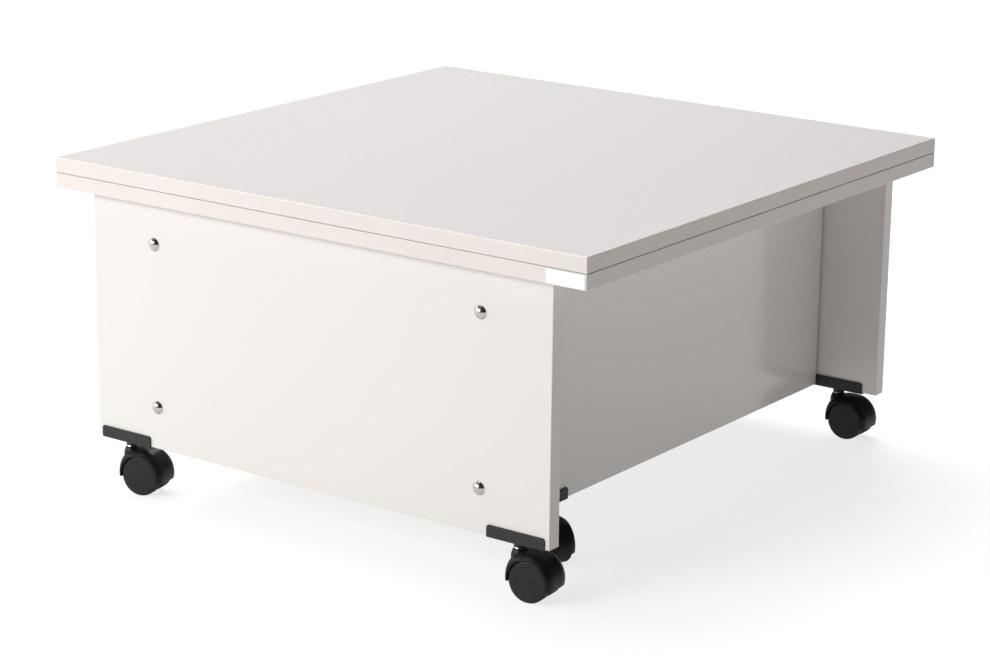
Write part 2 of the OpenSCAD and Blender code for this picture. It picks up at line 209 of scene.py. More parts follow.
WHITE = (0.590, 0.568, 0.548)
TAPE = (0.580, 0.538, 0.503)
CHIP = [(0.33, 0.22, 0.12), (0.52, 0.38, 0.23), (0.68, 0.54, 0.36)]


def laminate(name, thickness_axis=None, colour=WHITE, gloss=0.17):
    """White melamine; with a thickness_axis, cut edges and bores show the chipboard core."""
    s = Shader(name, specular=0.5)
    tone = s.ramp(s.noise(220, 3), NOISE_LOW, NOISE_HIGH, shades(colour, 0.005))
    if thickness_axis is None:
        s.colour(tone)
        s.rough(s.spread(s.noise(6, 3), gloss - 0.02, gloss + 0.02))
    else:
        split = s.tree.nodes.new("ShaderNodeSeparateXYZ")
        s.put(s.coords.outputs["Normal"], split.inputs["Vector"])
        along = s.maths("ABSOLUTE", split.outputs["XYZ".index(thickness_axis)], 0)
        face = s.maths("GREATER_THAN", along, 0.7)
        chips = s.ramp(s.noise(1.6, 5, 0.65), 0.35, 0.66, CHIP)
        s.colour(s.mix(face, chips, tone))
        smooth = s.spread(s.noise(6, 3), gloss - 0.02, gloss + 0.02)
        node = s.tree.nodes.new("ShaderNodeMix")
        s.put(face, node.inputs["Factor"])
        node.inputs["A"].default_value = 0.85
        s.put(smooth, node.inputs["B"])
        s.rough(node.outputs["Result"])
    s.bump(s.noise(0.9, 2), 0.006)
    return s.material


def edge_tape():
    s = Shader("edge_tape_plastic", specular=0.5)
    s.colour(s.ramp(s.noise(70, 3), NOISE_LOW, NOISE_HIGH, shades(TAPE, 0.015)))
    s.rough(s.spread(s.noise(12, 2), 0.30, 0.36))
    s.bump(s.noise(14, 1), 0.004)
    return s.material


def moulded_black(name, colour, rough, grain, variation=0.16):
    """Dark moulded plastic with a fine spark-eroded grain."""
    s = Shader(name, specular=0.13)
    s.colour(s.ramp(s.noise(6, 4), NOISE_LOW, NOISE_HIGH, shades(colour, variation)))
    s.rough(s.spread(s.noise(5, 4), rough - 0.05, rough + 0.08))
    s.bump(s.noise(grain, 3), 0.012)
    s.bump(s.noise(5, 2), 0.03)
    return s.material


def powder_coat():
    s = Shader("black_powder_coat", specular=0.15)
    s.colour(s.ramp(s.noise(5, 4), NOISE_LOW, NOISE_HIGH, shades((0.029, 0.028, 0.028), 0.14)))
    s.rough(s.spread(s.noise(4, 3), 0.38, 0.52))
    s.bump(s.noise(0.8, 3), 0.03)
    return s.material


def metal(name, colour, rough, cell, stretch=(1, 1, 1), variation=0.05, relief=0.002):
    s = Shader(name, metallic=1.0)
    s.colour(s.ramp(s.noise(cell, 4, 0.6, stretch), NOISE_LOW, NOISE_HIGH,
                    shades(colour, variation)))
    s.rough(s.spread(s.noise(cell * 0.6, 3, 0.6, stretch), rough * 0.75, rough * 1.3))
    s.bump(s.noise(cell * 0.4, 3, 0.6, stretch), relief)
    return s.material


def beech_wood():
    s = Shader("beech_wood", specular=0.4)
    grain = s.noise(1.2, 5, 0.6, (1, 0.12, 1), 0.4)
    s.colour(s.ramp(grain, NOISE_LOW, NOISE_HIGH,
                    [(0.50, 0.33, 0.19), (0.62, 0.44, 0.27), (0.70, 0.52, 0.34)]))
    s.rough(s.spread(grain, 0.45, 0.62))
    s.bump(grain, 0.03)
    return s.material


def white_moulding():
    s = Shader("white_moulding", specular=0.45)
    s.colour(s.ramp(s.noise(8, 3), NOISE_LOW, NOISE_HIGH, shades((0.74, 0.735, 0.72), 0.02)))
    s.rough(s.spread(s.noise(3, 3), 0.34, 0.46))
    s.bump(s.noise(0.35, 2), 0.008)
    return s.material


def felt():
    s = Shader("grey_felt", specular=0.2)
    fibre = s.noise(0.35, 6, 0.7, distortion=1.2)
    s.colour(s.ramp(fibre, NOISE_LOW, NOISE_HIGH,
                    [(0.05, 0.05, 0.052), (0.12, 0.12, 0.122), (0.2, 0.2, 0.2)]))
    s.rough(s.spread(fibre, 0.9, 1.0))
    s.shader.inputs["Sheen Weight"].default_value = 0.4
    s.bump(fibre, 0.15)
    return s.material


def soft_rubber():
    s = Shader("soft_rubber", specular=0.35)
    s.colour(s.ramp(s.noise(3, 3), NOISE_LOW, NOISE_HIGH, shades((0.06, 0.06, 0.06), 0.15)))
    s.rough(s.spread(s.noise(2, 3), 0.6, 0.75))
    s.bump(s.noise(0.4, 2), 0.01)
    return s.material


LAMINATE = {axis: laminate("white_melamine_" + axis.lower(), axis) for axis in "XYZ"}
LAMINATE_EDGED = laminate("white_melamine_all_round")
EDGE_TAPE = edge_tape()
BLANK_PLATE = laminate("blank_plate_plastic", colour=(0.74, 0.75, 0.76), gloss=0.3)
HOOD_PLASTIC = moulded_black("black_hood_nylon", (0.0105, 0.011, 0.011), 0.32, 0.35)
WHEEL_PLASTIC = moulded_black("black_wheel_nylon", (0.0175, 0.0175, 0.019), 0.38, 0.3)
TREAD = moulded_black("black_tread_rubber", (0.007, 0.007, 0.0075), 0.62, 0.3)
COATED_STEEL = powder_coat()
CHROME = metal("polished_chrome", (0.78, 0.79, 0.80), 0.09, 3.0, variation=0.02, relief=0.0006)
NICKEL = metal("nickel_plated_steel", (0.48, 0.465, 0.445), 0.17, 2.0, variation=0.05, relief=0.001)
ZINC = metal("zinc_plated_steel", (0.60, 0.61, 0.62), 0.30, 1.5, variation=0.09)
BEECH = beech_wood()
WHITE_PLASTIC = white_moulding()
FELT = felt()
RUBBER = soft_rubber()


# ---------------------------------------------------------------- mesh helpers

def mesh_of(bm):
    """Turns a bmesh into a mesh with its normals facing out."""
    bmesh.ops.recalc_face_normals(bm, faces=bm.faces)
    mesh = bpy.data.meshes.new("shape")
    bm.to_mesh(mesh)
    bm.free()
    return mesh


def sharp_edges(bm, angle=50):
    return [e for e in bm.edges if e.is_manifold and e.calc_face_angle() > math.radians(angle)]


def edges_along(bm, axis):
    """Edges whose ends differ along an axis: 0, 1 or 2 for x, y or z."""
    return [e for e in bm.edges if abs((e.verts[0].co - e.verts[1].co)[axis]) > 1e-7]


def bevel(bm, edges, width, segments=2):
    if edges:
        bmesh.ops.bevel(bm, geom=edges, offset=width * MM, segments=segments,
                        profile=0.5, affect="EDGES", clamp_overlap=True)


def box_bm(lo, hi):
    """A box between two corners given in millimetres."""
    bm = bmesh.new()
    bmesh.ops.create_cube(bm, size=1)
    lo, hi = Vector(lo), Vector(hi)
    for v in bm.verts:
        v.co = Vector(((lo[i] + hi[i]) / 2 + v.co[i] * (hi[i] - lo[i])) * MM for i in range(3))
    return bm


def rounded_box(lo, hi, radius, segments=3):
    bm = box_bm(lo, hi)
    bevel(bm, bm.edges[:], radius, segments)
    return mesh_of(bm)


def lathe(profile, sides=64):
    """Turns a profile of (radius, height) points, in millimetres, round the z axis."""
    bm = bmesh.new()
    rings = []
    for r, h in profile:
        if r < 1e-6:
            rings.append([bm.verts.new((0, 0, h * MM))])
            continue
        turn = 2 * math.pi / sides
        rings.append([
            bm.verts.new((r * MM * math.cos(turn * i), r * MM * math.sin(turn * i), h * MM))
            for i in range(sides)
        ])
    for a, b in zip(rings, rings[1:]):
        for i in range(sides):
            j = (i + 1) % sides
            if len(a) == 1:
                bm.faces.new((a[0], b[i], b[j]))
            elif len(b) == 1:
                bm.faces.new((a[i], a[j], b[0]))
            else:
                bm.faces.new((a[i], a[j], b[j], b[i]))
    for ring in (rings[0], rings[-1]):
        if len(ring) > 1 and rings[0] is not rings[-1]:
            bm.faces.new(ring)
    return mesh_of(bm)


def tube(profile, sides=64):
    """Turns a closed profile round the z axis; it may lie on the axis along one stretch."""
    bm = bmesh.new()
    turn = 2 * math.pi / sides
    rings = [
        [bm.verts.new((r * MM * math.cos(turn * i), r * MM * math.sin(turn * i), h * MM))
         for i in range(sides if r > 1e-6 else 1)]
        for r, h in profile
    ]
    for a, b in zip(rings, rings[1:] + rings[:1]):
        for i in range(sides):
            j = (i + 1) % sides
            if len(a) == len(b) == 1:
                continue
            if len(a) == 1:
                bm.faces.new((a[0], b[i], b[j]))
            elif len(b) == 1:
                bm.faces.new((a[i], a[j], b[0]))
            else:
                bm.faces.new((a[i], a[j], b[j], b[i]))
    return mesh_of(bm)


def prism_bm(outline, low, high):
    """Extrudes an outline of (u, v) points from low to high along the third axis."""
    bm = bmesh.new()
    bottom = [bm.verts.new((u * MM, v * MM, low * MM)) for u, v in outline]
    top = [bm.verts.new((u * MM, v * MM, high * MM)) for u, v in outline]
    bm.faces.new(bottom)
    bm.faces.new(top)
    for i in range(len(outline)):
        j = (i + 1) % len(outline)
        bm.faces.new((bottom[i], bottom[j], top[j], top[i]))
    bmesh.ops.recalc_face_normals(bm, faces=bm.faces)
    return bm


def arc(cx, cy, r, start, end, steps):
    """Points on an arc, angles in degrees."""
    return [
        (cx + r * math.cos(math.radians(start + (end - start) * i / steps)),
         cy + r * math.sin(math.radians(start + (end - start) * i / steps)))
        for i in range(steps + 1)
    ]


def gathered(parts):
    """One mesh from parts of (mesh, matrix, material index)."""
    bm = bmesh.new()
    for mesh, matrix, index in parts:
        copy = mesh.copy()
        copy.transform(matrix)
        if matrix.determinant() < 0:
            copy.flip_normals()
        start = len(bm.faces)
        bm.from_mesh(copy)
        bm.faces.ensure_lookup_table()
        for face in bm.faces[start:]:
            face.material_index += index
        bpy.data.meshes.remove(copy)
    mesh = bpy.data.meshes.new("shape")
    bm.to_mesh(mesh)
    bm.free()
    return mesh


def booleaned(mesh, cutters, operation="DIFFERENCE"):
    """Cuts (or joins) the cutter meshes from (to) a mesh."""
    target = bpy.data.objects.new("cut_target", mesh)
    scene.collection.objects.link(target)
    others = []
    for cutter in cutters:
        other = bpy.data.objects.new("cutter", cutter)
        scene.collection.objects.link(other)
        others.append(other)
        modifier = target.modifiers.new("cut", "BOOLEAN")
        modifier.operation = operation
        modifier.solver = "EXACT"
        modifier.object = other
    bpy.context.view_layer.update()
    result = bpy.data.meshes.new_from_object(
        target.evaluated_get(bpy.context.evaluated_depsgraph_get()))
    for o in [target, *others]:
        bpy.data.objects.remove(o)
    return result


SMOOTH_BELOW = 40


def piece(name, mesh, body, materials, replaced):
    """Puts a mesh in the scene as a named piece that rides on a CAD body."""
    mesh.name = name
    for m in materials:
        mesh.materials.append(m)
    mesh.shade_smooth()
    mesh.set_sharp_from_angle(angle=math.radians(SMOOTH_BELOW))
    obj = bpy.data.objects.new(name, mesh)
    scene.collection.objects.link(obj)
    modifier = obj.modifiers.new("even_faces", "WEIGHTED_NORMAL")
    modifier.keep_sharp = True
    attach(obj, body)
    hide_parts(*replaced)


def at(place, turn=0.0, axis="Z"):
    """A matrix that moves to place, in millimetres, after a turn in degrees."""
    return Matrix.Translation(Vector(place) * MM) @ Matrix.Rotation(math.radians(turn), 4, axis)


def box_mm(node):
    lo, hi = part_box(node)
    return lo / MM, hi / MM


# ---------------------------------------------------------------- shared fittings

def screw_head(radius, height, countersunk=False, shank=None, length=10.0):
    """A cross-recessed screw whose head's underside is at z = 0 (pan) or whose face is (flat).

    The head faces -z and the shank runs along +z.
    """
    shank = shank or radius * 0.52
    point = [(shank, length - shank), (shank * 0.35, length), (0, length)]
    if countersunk:
        profile = [(0, 0), (radius - 0.15, 0), (radius, 0.12), (shank, radius - shank)]
    else:
        profile = [(0, -height)]
        for i in range(1, 7):
            a = math.radians(15 * i)
            profile.append((radius * math.sin(a) ** 0.8, -height * max(0.28, math.cos(a))))
        profile += [(radius, -0.1), (radius - 0.1, 0), (shank, 0)]
    solid = lathe(profile + point, 32)
    deep = radius * 0.55
    arm, wide = radius * 0.55, radius * 0.11
    outline = [(arm, wide), (wide, wide), (wide, arm), (-wide, arm), (-wide, wide),
               (-arm, wide), (-arm, -wide), (-wide, -wide), (-wide, -arm), (wide, -arm),
               (wide, -wide), (arm, -wide)]
    top = -height - 0.5 if not countersunk else -0.5
    cross = prism_bm(outline, top, top + 0.5 + deep)
    for v in cross.verts:
        if v.co.z > (top + 0.1) * MM:
            v.co.x *= 0.45
            v.co.y *= 0.45
    return booleaned(solid, [mesh_of(cross)])


# ---------------------------------------------------------------- boards and their edging

def edging_strip(lo, hi, outward, full, soft=0.6, fine=0.12):
    """One strip of tape: its long outer edges are soft, and its ends too where it is full."""
    bm = box_bm(lo, hi)
    lo, hi = Vector(lo), Vector(hi)
    axis = max(range(3), key=lambda i: abs(outward[i]))
    face_at = (hi if outward[axis] > 0 else lo)[axis]
    spans = [i for i in range(3) if i != axis]
    long_axis = max(spans, key=lambda i: hi[i] - lo[i])

    def on_face(e):
        return all(abs(v.co[axis] / MM - face_at) < 1e-3 for v in e.verts)

    def runs_along(e, i):
        return abs((e.verts[1].co - e.verts[0].co)[i]) > 1e-6

    chosen = [e for e in bm.edges if on_face(e) and (full or runs_along(e, long_axis))]
    bevel(bm, chosen, soft, 3)
    bevel(bm, sharp_edges(bm, 70), fine, 1)
    return mesh_of(bm)


def notched_strip(x_out, x_in, y_span, z_span, seam_side, notches, knuckles, soft=0.6, fine=0.12):
    """The hinge-side strip, with room for hinge plates and knuckles at the seam."""
    z0, z1 = z_span
    low_seam = seam_side < 0
    seam_z, far_z = (z0, z1) if low_seam else (z1, z0)
    outline = [(y_span[0], far_z), (y_span[0], seam_z)]
    for (a, b, depth_z), (ka, kb, knuckle_z) in zip(notches, knuckles):
        outline += [(ka, seam_z), (ka, knuckle_z), (a, knuckle_z), (a, depth_z),
                    (b, depth_z), (b, knuckle_z), (kb, knuckle_z), (kb, seam_z)]
    outline += [(y_span[1], seam_z), (y_span[1], far_z)]
    bm = prism_bm(outline, x_out, x_in)
    for v in bm.verts:
        v.co = Vector((v.co.z, v.co.x, v.co.y))
    outer = [
        e for e in bm.edges
        if all(abs(v.co.x / MM - x_out) < 1e-3 for v in e.verts)
        and all(abs(v.co.z / MM - far_z) < 1e-3 for v in e.verts)
    ]
    bevel(bm, outer, soft, 3)
    bevel(bm, sharp_edges(bm, 70), fine, 1)
    return mesh_of(bm)


HERE = Matrix.Identity(4)
TAPE_PROUD = 0.15
HINGE_PLACES = [-250, 0, 250]
PAD_PLACES = [-300, -100, 100, 300]


def leaf_edging(node, body, seam_side):
    """Tape round one leaf. seam_side is -1 where the seam is below the leaf, 1 where above."""
    lo, hi = box_mm(node)
    core_lo, core_hi = box_mm(node.replace("_edging", ""))
    plates = "upper_hinge_plates" if seam_side < 0 else "lower_hinge_plates"
    p_lo, p_hi = box_mm(plates)
    reach = p_hi.y
    depth_z = p_hi.z if seam_side < 0 else p_lo.z
    half = reach - max(HINGE_PLACES)
    slack = 0.4
    knuckle_z = (lo.z if seam_side < 0 else hi.z) - seam_side * 2.5
    notches = [(y - half, y + half, depth_z) for y in HINGE_PLACES]
    knuckles = [(y - half - slack, y + half + slack, knuckle_z) for y in HINGE_PLACES]
    # the tape stands a hair proud of the board, which narrows the seam
    if seam_side < 0:
        lo.z -= TAPE_PROUD
    else:
        hi.z += TAPE_PROUD
    strips = [
        edging_strip((lo.x, lo.y, lo.z), (hi.x, core_lo.y, hi.z), -Y, True),
        edging_strip((lo.x, core_hi.y, lo.z), (hi.x, hi.y, hi.z), Y, True),
        edging_strip((core_hi.x, core_lo.y, lo.z), (hi.x, core_hi.y, hi.z), X, False),
        notched_strip(lo.x, core_lo.x, (core_lo.y, core_hi.y), (lo.z, hi.z), seam_side,
                      notches, knuckles),
    ]
    piece(node + "_tape", gathered([(s, HERE, 0) for s in strips]), body,
          [EDGE_TAPE], [node])


def end_edging(node):
    """Tape round one end panel, with bores for the glide pads in its upper strip."""
    lo, hi = box_mm(node)
    core_lo, core_hi = box_mm(node.replace("_edging", "_panel"))
    long_strips = [
        edging_strip((lo.x, lo.y, lo.z), (hi.x, hi.y, core_lo.z), -Z, True),
        edging_strip((lo.x, lo.y, core_hi.z), (hi.x, hi.y, hi.z), Z, True),
    ]
    bores = []
    for x in PAD_PLACES:
        bores.append(lathe([(0, -4), (6, -4), (6, 4), (0, 4)], 32))
        bores[-1].transform(at((x, (lo.y + hi.y) / 2, hi.z)))
    long_strips[1] = booleaned(long_strips[1], bores)
    sides = [
        edging_strip((lo.x, lo.y, core_lo.z), (core_lo.x, hi.y, core_hi.z), -X, False),
        edging_strip((core_hi.x, lo.y, core_lo.z), (hi.x, hi.y, core_hi.z), X, False),
    ]
    piece(node + "_tape", gathered([(s, HERE, 0) for s in long_strips + sides]), "base",
          [EDGE_TAPE], [node])


def side_edging():
    strips = []
    for side in ("left", "right"):
        lo, hi = box_mm(side + "_side_panel")
        base_lo, base_hi = box_mm("side_panel_edging")
        strips.append(edging_strip((lo.x, lo.y, base_lo.z), (hi.x, hi.y, lo.z), -Z, False))
        strips.append(edging_strip((lo.x, lo.y, hi.z), (hi.x, hi.y, base_hi.z), Z, False))
    piece("side_panel_edging_tape", gathered([(s, HERE, 0) for s in strips]), "base",
          [EDGE_TAPE], ["side_panel_edging"])


leaf_edging("upper_leaf_edging", "upper_top", -1)
leaf_edging("lower_leaf_edging", "lower_top", 1)
end_edging("front_end_edging")
end_edging("rear_end_edging")
side_edging()

lo, hi = box_mm("name_plate")
plate_bm = box_bm(lo, hi)
bevel(plate_bm, edges_along(plate_bm, 1), 1.2, 4)
bevel(plate_bm, [
    e for e in sharp_edges(plate_bm, 60) if all(v.co.y < (lo.y + 0.01) * MM for v in e.verts)
], 0.2, 2)
piece("blank_name_plate", mesh_of(plate_bm), "lower_top", [BLANK_PLATE],
      ["name_plate"])


# ---------------------------------------------------------------- bolts, nuts, dowels, pads

END_LO = box_mm("front_end_edging")[0]
BOLTS_LO, BOLTS_HI = box_mm("dome_bolts")
DOME_R = (BOLTS_HI.x - box_mm("dowels")[1].x) + 4
BOLT_X = BOLTS_HI.x - DOME_R
BOLT_Z = (BOLTS_LO.z + DOME_R, BOLTS_HI.z - DOME_R)
DOME_HEIGHT = END_LO.y - BOLTS_LO.y


def dome_bolts():
    """Domed, nickel-plated heads on a thin flange, with their shanks."""
    r, h = DOME_R, DOME_HEIGHT
    ball = (r * r + h * h) / (2 * h)
    start = math.asin(r / ball)
    crown = [
        (ball * math.sin(start * i / 14), h - ball + ball * math.cos(start * i / 14))
        for i in range(14)
    ]
    profile = crown + [(r, 0.35), (r, 0.05), (r - 0.1, 0), (3, 0), (3, -65), (2, -66), (0, -66)]
    bolt = lathe(profile, 72)
    parts = []
    for end, face in ((-1, END_LO.y), (1, box_mm("rear_end_edging")[1].y)):
        for x in (-BOLT_X, BOLT_X):
            for z in BOLT_Z:
                parts.append((bolt, at((x, face, z), -90 * end, "X"), 0))
    piece("plated_dome_bolts", gathered(parts), "base", [NICKEL], ["dome_bolts"])


def barrel_nuts():
    """Cross dowels with a slot in the face that shows inside the base."""
    lo, hi = box_mm("barrel_nuts")
    ys = (lo.y + 5, hi.y - 5)
    profile = [(0, -7), (4.6, -7), (5, -6.6), (5, 6.6), (4.6, 7), (0, 7)]
    slot = mesh_of(box_bm((-6, -0.7, -9), (6, 0.7, -5.6)))
    bore = lathe([(0, -7), (3, -7), (3, 7), (0, 7)], 32)
    bore.transform(Matrix.Rotation(math.pi / 2, 4, "X"))
    nut = booleaned(lathe(profile, 40), [slot, bore])
    parts = []
    for side in (-1, 1):
        for y in ys:
            for z in BOLT_Z:
                parts.append((nut, at((side * BOLT_X, y, z), 90 * side, "Y"), 0))
    piece("slotted_barrel_nuts", gathered(parts), "base", [ZINC], ["barrel_nuts"])


def dowels():
    """Fluted beech dowels with chamfered ends."""
    lo, hi = box_mm("dowels")
    outline = []
    for i in range(96):
        a = 2 * math.pi * i / 96
        r = 4 - 0.22 * max(0.0, math.cos(16 * a))
        outline.append((r * math.cos(a), r * math.sin(a)))
    bm = bmesh.new()
    levels = [(0.82, 0), (1, 1.2), (1, 28.8), (0.82, 30)]
    rings = [[bm.verts.new((u * k * MM, v * k * MM, z * MM)) for u, v in outline]
             for k, z in levels]
    bm.faces.new(rings[0])
    bm.faces.new(rings[-1])
    for a, b in zip(rings, rings[1:]):
        for i in range(96):
            j = (i + 1) % 96
            bm.faces.new((a[i], a[j], b[j], b[i]))
    dowel = mesh_of(bm)
    parts = []
    for y, turn in ((lo.y, -90), (hi.y, 90)):
        for x in (lo.x + 4, hi.x - 4):
            for z in (lo.z + 4, hi.z - 4):
                parts.append((dowel, at((x, y, z), turn, "X"), 0))
    piece("fluted_dowels", gathered(parts), "base", [BEECH], ["dowels"])


def pads_and_buffers():
    lo, hi = box_mm("glide_pads")
    height = hi.z - lo.z
    pad = lathe([(0, 0), (6, 0), (6, height - 0.5), (5.6, height - 0.1), (5, height),
                 (0, height)], 40)
    parts = [
        (pad, at((x, y, lo.z)), 0)
        for x in PAD_PLACES for y in (lo.y + 6, hi.y - 6)
    ]
    piece("felt_glide_pads", gathered(parts), "base", [FELT], ["glide_pads"])
    lo, hi = box_mm("leaf_buffers")
    height = hi.z - lo.z
    dome = lathe([(0, 0), (5, 0), (5, height - 0.4), (4.4, height - 0.12), (2.5, height - 0.02),
                  (0, height)], 40)
    parts = [(dome, at((x, y, lo.z)), 0)
             for x in (lo.x + 5, hi.x - 5) for y in (lo.y + 5, hi.y - 5)]
    piece("rubber_leaf_buffers", gathered(parts), "lower_top", [RUBBER],
          ["leaf_buffers"])


dome_bolts()
barrel_nuts()
dowels()
pads_and_buffers()


# ---------------------------------------------------------------- rails' blocks and screws

PAN = screw_head(3.6, 2.0, shank=1.9, length=32)
PAN_SHORT = screw_head(3.6, 2.0, shank=1.9, length=18)
FLAT = screw_head(2.8, 1.6, countersunk=True, shank=1.5, length=16)
FLAT_SHORT = screw_head(2.8, 1.6, countersunk=True, shank=1.5, length=14)


def rail_fixings():
    """Moulded corner blocks with screw bosses, and the screws that hold them."""
    lo, hi = box_mm("rail_blocks")
    block = rounded_box((-10, -30, -10), (10, 30, 10), 1.6, 3)
    pockets = []
    for y in (-18, 18):
        pocket = lathe([(0, -1), (5.4, -1), (5, 1.2), (0, 1.2)], 32)
        pocket.transform(at((-10, y, 0), 90, "Y"))
        pockets.append(pocket)
    under = lathe([(0, -1), (5.4, -1), (5, 1.2), (0, 1.2)], 32)
    under.transform(at((0, 0, -10)))
    block = booleaned(block, pockets + [under])
    blocks, screws = [], []
    rails = [(box_mm(n)[0].y + box_mm(n)[1].y) / 2 for n in ("pivot_rail", "brace_rail")]
    for side in (-1, 1):
        for y in rails:
            place = at(((hi.x - 10) * side, y, (lo.z + hi.z) / 2), 180 if side < 0 else 0)
            blocks.append((block, place, 0))
            for step in (-18, 18):
                screws.append((PAN, place @ at((-8.8, step, 0), 90, "Y"), 0))
            screws.append((PAN, place @ at((0, 0, -8.8)), 0))
    piece("moulded_rail_blocks", gathered(blocks), "base", [WHITE_PLASTIC],
          ["rail_blocks"])
    piece("rail_block_screws", gathered(screws), "base", [ZINC], ["block_screws"])


rail_fixings()


# ---------------------------------------------------------------- swivel

def swivel():
    lo, hi = box_mm("pivot_plate")
    centre = (lo + hi) / 2
    side = (hi.x - lo.x) / 2
    bm = box_bm((-side, -side, 0), (side, side, hi.z - lo.z))
    bevel(bm, edges_along(bm, 2), 6, 6)
    bevel(bm, sharp_edges(bm, 60), 0.3, 2)
    plate = mesh_of(bm)
    cutters = [lathe([(0, -1), (5, -1), (5, 5), (0, 5)], 40)]
    peg_hole = lathe([(0, -1), (4, -1), (4, 5), (0, 5)], 40)
    peg_hole.transform(at((30, 0, 0)))
    cutters.append(peg_hole)
    for x in (-35, 35):
        for y in (-35, 35):
            sink = lathe([(0, -0.5), (3.1, -0.5), (3.1, 0), (1.7, 1.5), (1.7, 5), (0, 5)], 32)
            sink.transform(at((x, y, 0)))
            cutters.append(sink)
    plate = booleaned(plate, cutters)
    here = at((centre.x, centre.y, lo.z))
    piece("swivel_plate", gathered([(plate, here, 0)]), "lower_top", [ZINC],
          ["pivot_plate"])
    screws = [(FLAT_SHORT, here @ at((x, y, 0.1)), 0) for x in (-35, 35) for y in (-35, 35)]
    piece("swivel_plate_screws", gathered(screws), "lower_top", [ZINC],
          ["plate_screws"])

    lo, hi = box_mm("pivot_bolt")
    bolt = lathe([(0, lo.z), (3.6, lo.z), (5, lo.z + 1.4), (5, hi.z - 4), (10.6, hi.z - 4),
                  (11, hi.z - 3.6), (11, hi.z - 0.4), (10.6, hi.z), (0, hi.z)], 48)
    spot = at((centre.x, centre.y, 0))
    piece("swivel_bolt", gathered([(bolt, spot, 0)]), "lower_top", [ZINC],
          ["pivot_bolt"])

    lo, hi = box_mm("pivot_washer")
    washer = tube([(5.05, lo.z), (11.7, lo.z), (12, lo.z + 0.3), (12, hi.z - 0.3), (11.7, hi.z),
                   (5.05, hi.z)], 56)
    piece("swivel_washer", gathered([(washer, spot, 0)]), "lower_top", [ZINC],
          ["pivot_washer"])

    lo, hi = box_mm("pivot_nut")
    six = [(9.5 * math.cos(math.radians(60 * i)), 9.5 * math.sin(math.radians(60 * i)))
           for i in range(6)]
    bm = prism_bm(six, lo.z, hi.z)
    bevel(bm, edges_along(bm, 2), 0.3, 2)
    nut = mesh_of(bm)
    trimmer = lathe([(0, lo.z - 0.01), (8.2, lo.z - 0.01), (9.6, lo.z + 1.1), (9.6, hi.z - 1.1),
                     (8.2, hi.z + 0.01), (0, hi.z + 0.01)], 64)
    nut = booleaned(nut, [trimmer], "INTERSECT")
    nut = booleaned(nut, [lathe([(0, lo.z - 1), (5.6, lo.z - 1), (5.02, lo.z + 0.7),
                                 (5.02, hi.z + 1), (0, hi.z + 1)], 40)])
    piece("swivel_nut", gathered([(nut, spot, 0)]), "lower_top", [ZINC],
          ["pivot_nut"])

    lo, hi = box_mm("stop_peg")
    peg = lathe([(0, lo.z), (3.2, lo.z), (4, lo.z + 0.8), (4, hi.z - 0.5), (3.5, hi.z),
                 (0, hi.z)], 40)
    piece("swivel_stop_peg", gathered([(peg, at(((lo.x + hi.x) / 2, (lo.y + hi.y) / 2, 0)), 0)]),
          "lower_top", [ZINC], ["stop_peg"])


swivel()


# ---------------------------------------------------------------- hinges

